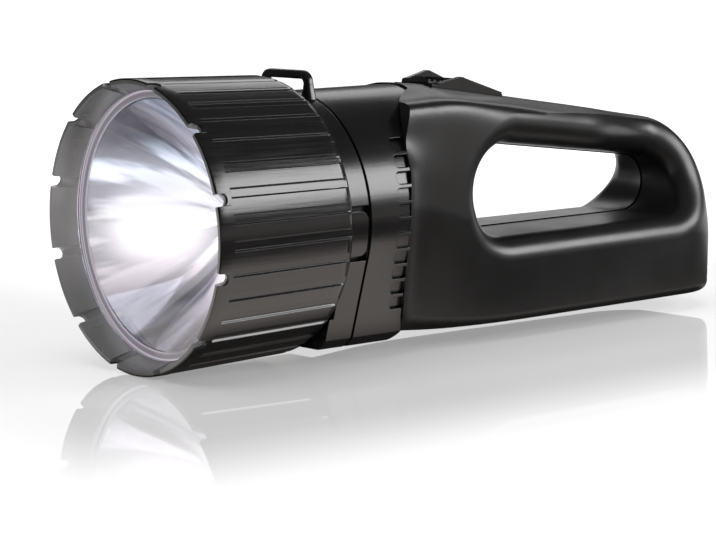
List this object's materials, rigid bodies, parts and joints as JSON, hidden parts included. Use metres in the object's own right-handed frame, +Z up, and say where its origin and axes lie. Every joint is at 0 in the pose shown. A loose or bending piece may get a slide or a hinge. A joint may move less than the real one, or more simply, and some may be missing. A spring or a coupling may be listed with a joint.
{
  "type": "handheld searchlight",
  "caption": "Handheld searchlight with a ribbed round lamp head, latched collar with strap eye, round battery body on a foot and a D-shaped handle with a top slide switch.",
  "frame": {"origin": "centre of the bounding box, on the floor plane under the lamp head's lowest point", "axes": "+Z up, -Y the way the beam leaves, +X the lamp's left side, which the picture shows"},
  "size_m": [0.108, 0.286, 0.108],
  "materials": {
    "body_plastic": "black moulded plastic, satin",
    "slider_plastic": "black moulded plastic, ribbed",
    "clear_lens": "clear polycarbonate",
    "seal_rubber": "soft black",
    "reflector_mirror": "vacuum-plated bowl",
    "board": "white-coated metal-core board",
    "emitter": "silicone dome over the light source",
    "sink_metal": "turned",
    "contact_brass": "sheet",
    "screw_steel": "zinc-plated",
    "switch_plastic": "moulded",
    "cell_case": "bare cell case, no label",
    "driver": "laminate board",
    "lead_cover": "insulated wire"
  },
  "bodies": {
    "main": {"collar": "body_plastic", "strap_loop": "body_plastic", "front_housing": "body_plastic", "left_shell": "body_plastic", "right_shell": "body_plastic", "switch_guard": "body_plastic", "switch_unit": "switch_plastic", "battery_cells": "cell_case", "rear_contacts": "contact_brass", "contact_springs": "screw_steel", "driver_board": "driver", "switch_leads": "lead_cover", "shell_screws": "screw_steel", "collar_screws": "screw_steel"},
    "head": {"head_barrel": "body_plastic", "front_lens": "clear_lens", "lens_seal": "seal_rubber", "reflector": "reflector_mirror", "led_board": "board", "led_emitter": "emitter", "heat_sink": "sink_metal", "head_plate": "body_plastic", "head_gasket": "seal_rubber", "head_contacts": "contact_brass", "head_screws": "screw_steel"},
    "latch_left": {"latch_tab_left": "body_plastic"},
    "latch_right": {"latch_tab_right": "body_plastic"},
    "switch": {"switch_slider": "slider_plastic", "switch_wiper": "contact_brass"}
  },
  "joints": [
    {"name": "head_pull", "type": "slide", "parent": "main", "child": "head", "axis": [0, -1, 0], "range_m": [0, 0.07]},
    {"name": "latch_left_press", "type": "slide", "parent": "head", "child": "latch_left", "axis": [-1, 0, 0], "range_m": [0, 0.0013], "stiffness_N_per_m": 1500},
    {"name": "latch_right_press", "type": "slide", "parent": "head", "child": "latch_right", "axis": [1, 0, 0], "range_m": [0, 0.0013], "stiffness_N_per_m": 1500},
    {"name": "switch_slide", "type": "slide", "parent": "main", "child": "switch", "axis": [0, 0.9877, -0.1564], "range_m": [0, 0.006]}
  ]
}
